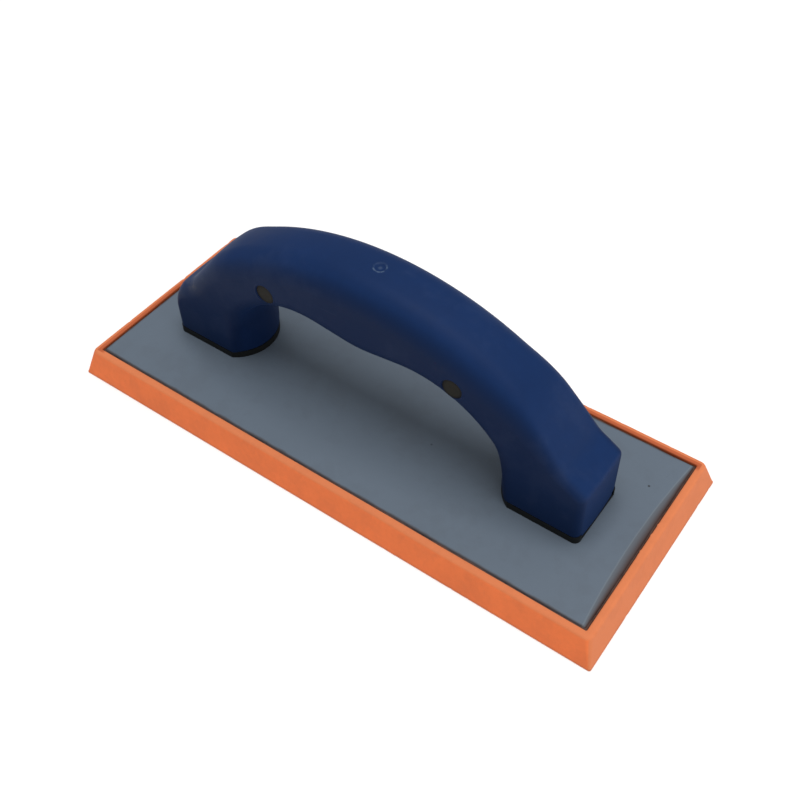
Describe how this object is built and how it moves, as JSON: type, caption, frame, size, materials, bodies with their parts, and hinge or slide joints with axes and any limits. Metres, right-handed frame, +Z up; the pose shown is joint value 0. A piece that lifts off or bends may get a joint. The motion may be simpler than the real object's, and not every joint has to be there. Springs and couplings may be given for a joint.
{
  "type": "grout float",
  "caption": "Hand float for pressing grout into tile joints: rubber pad with a raised lip, rigid backing plate and a D-shaped soft-grip handle.",
  "frame": {"origin": "centre of the pad's flat working face, the face that rests on the tiles", "axes": "+X along the float towards the heel foot of the handle, +Y towards its left side, +Z up through the handle"},
  "size_m": [0.24, 0.096, 0.0837],
  "materials": {
    "pad_rubber": "matte orange gum rubber, lightly mottled",
    "adhesive": "dark brown contact adhesive",
    "plate_plastic": "matte grey moulded plastic with faint scuffs",
    "core_plastic": "matte brown-black moulded plastic",
    "grip_elastomer": "soft-touch navy blue thermoplastic elastomer",
    "zinc_plated_steel": "bright zinc plate"
  },
  "bodies": {
    "root": {"rubber_pad": "pad_rubber", "adhesive_layer": "adhesive", "backing_plate": "plate_plastic", "core_half_left": "core_plastic", "core_half_right": "core_plastic", "grip_overmould": "grip_elastomer", "screw_toe_left": "zinc_plated_steel", "screw_toe_right": "zinc_plated_steel", "screw_heel_left": "zinc_plated_steel", "screw_heel_right": "zinc_plated_steel", "washer_toe_left": "zinc_plated_steel", "washer_toe_right": "zinc_plated_steel", "washer_heel_left": "zinc_plated_steel", "washer_heel_right": "zinc_plated_steel"}
  },
  "joints": []
}
